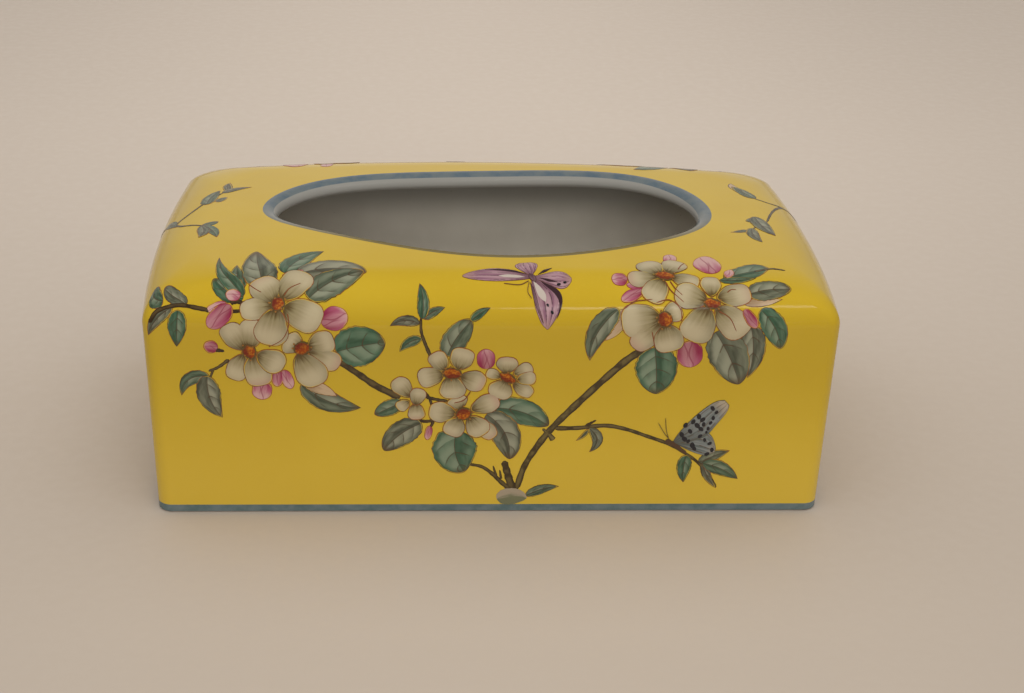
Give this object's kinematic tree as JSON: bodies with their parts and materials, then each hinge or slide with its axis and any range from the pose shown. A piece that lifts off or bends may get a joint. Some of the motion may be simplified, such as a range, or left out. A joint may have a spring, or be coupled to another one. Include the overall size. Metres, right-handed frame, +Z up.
{
  "type": "tissue box cover",
  "caption": "Box-shaped porcelain cover, open below, with an oval mouth in its arched roof; it is lowered over a flat carton of tissues, and is painted with sprays of blossom.",
  "frame": {"origin": "middle of the footprint, on the plane that the bare foot rests on", "axes": "+X along the length to the right, +Y to the back, +Z up"},
  "size_m": [0.2631, 0.1461, 0.097],
  "materials": {
    "porcelain": "bare fired foot, matt",
    "white_glaze": "clear glaze, glossy",
    "yellow_enamel": "enamel, glossy",
    "blue_enamel": "enamel, glossy",
    "brown_enamel": "enamel, glossy",
    "green_enamel": "enamel, glossy",
    "cream_enamel": "enamel, glossy",
    "red_enamel": "enamel, satin",
    "rose_enamel": "enamel, glossy",
    "purple_enamel": "enamel, glossy",
    "grey_enamel": "enamel, glossy"
  },
  "bodies": {
    "root": {"porcelain_body": "porcelain", "white_lining": "white_glaze", "yellow_ground": "yellow_enamel", "mouth_band": "blue_enamel", "foot_band": "blue_enamel", "left_spray_twigs": "brown_enamel", "left_spray_leaves": "green_enamel", "left_spray_petals": "cream_enamel", "left_spray_hearts": "red_enamel", "left_spray_buds": "rose_enamel", "middle_spray_twigs": "brown_enamel", "middle_spray_leaves": "green_enamel", "middle_spray_petals": "cream_enamel", "middle_spray_hearts": "red_enamel", "middle_spray_buds": "rose_enamel", "right_spray_twigs": "brown_enamel", "right_spray_leaves": "green_enamel", "right_spray_petals": "cream_enamel", "right_spray_hearts": "red_enamel", "right_spray_buds": "rose_enamel", "purple_butterfly": "purple_enamel", "spotted_moth": "grey_enamel", "left_end_sprig": "green_enamel", "right_end_sprig": "green_enamel", "end_petals": "cream_enamel", "end_hearts": "red_enamel", "back_twigs": "brown_enamel", "back_leaves": "green_enamel", "back_petals": "cream_enamel", "back_hearts": "red_enamel", "back_buds": "rose_enamel", "back_butterfly": "purple_enamel", "back_moth": "grey_enamel"}
  },
  "joints": []
}
